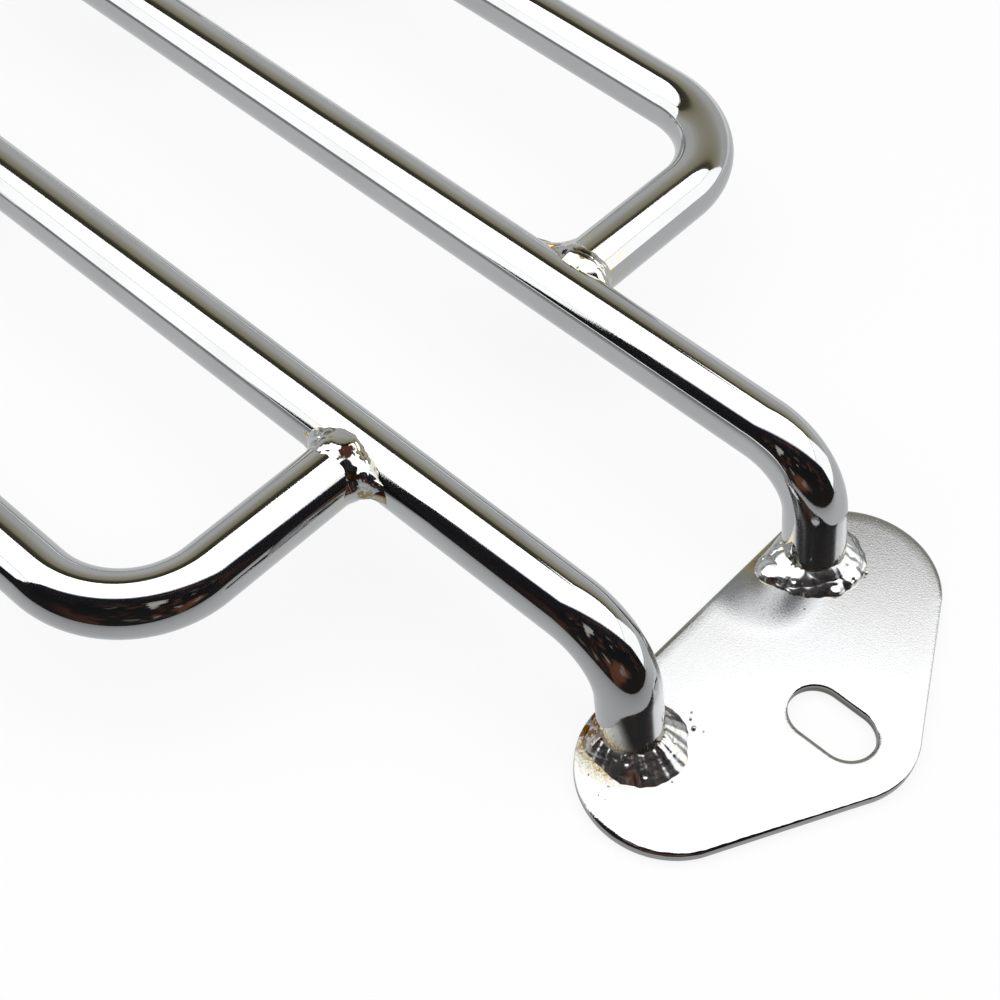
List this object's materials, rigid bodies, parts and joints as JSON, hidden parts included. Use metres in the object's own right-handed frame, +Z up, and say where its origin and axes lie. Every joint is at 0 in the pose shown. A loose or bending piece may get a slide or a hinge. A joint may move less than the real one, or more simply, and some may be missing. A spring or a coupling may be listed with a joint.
{
  "type": "motorcycle luggage rack",
  "caption": "Chromed luggage rack of bent round bar: parallel rails with legs welded to slotted mounting plates, and a U-shaped loop welded along the outer side of each rail.",
  "frame": {"origin": "under the middle of the rack, on the plane of the plates' lower faces", "axes": "+X along the rails to the rear plate, +Y to the right-hand side, +Z up"},
  "size_m": [0.3676, 0.1902, 0.036],
  "materials": {
    "chromed_bar": "bright chrome plating on round steel bar",
    "plated_sheet": "satin chrome plating on flat steel, with a fine pebbled skin",
    "weld_bead": "lumpy weld metal plated over, with pits, heat tint and a little rust"
  },
  "bodies": {
    "root": {"left_rail": "chromed_bar", "right_rail": "chromed_bar", "left_side_loop": "chromed_bar", "right_side_loop": "chromed_bar", "front_mount_plate": "plated_sheet", "rear_mount_plate": "plated_sheet", "left_loop_welds": "weld_bead", "right_loop_welds": "weld_bead", "left_leg_welds": "weld_bead", "right_leg_welds": "weld_bead"}
  },
  "joints": []
}
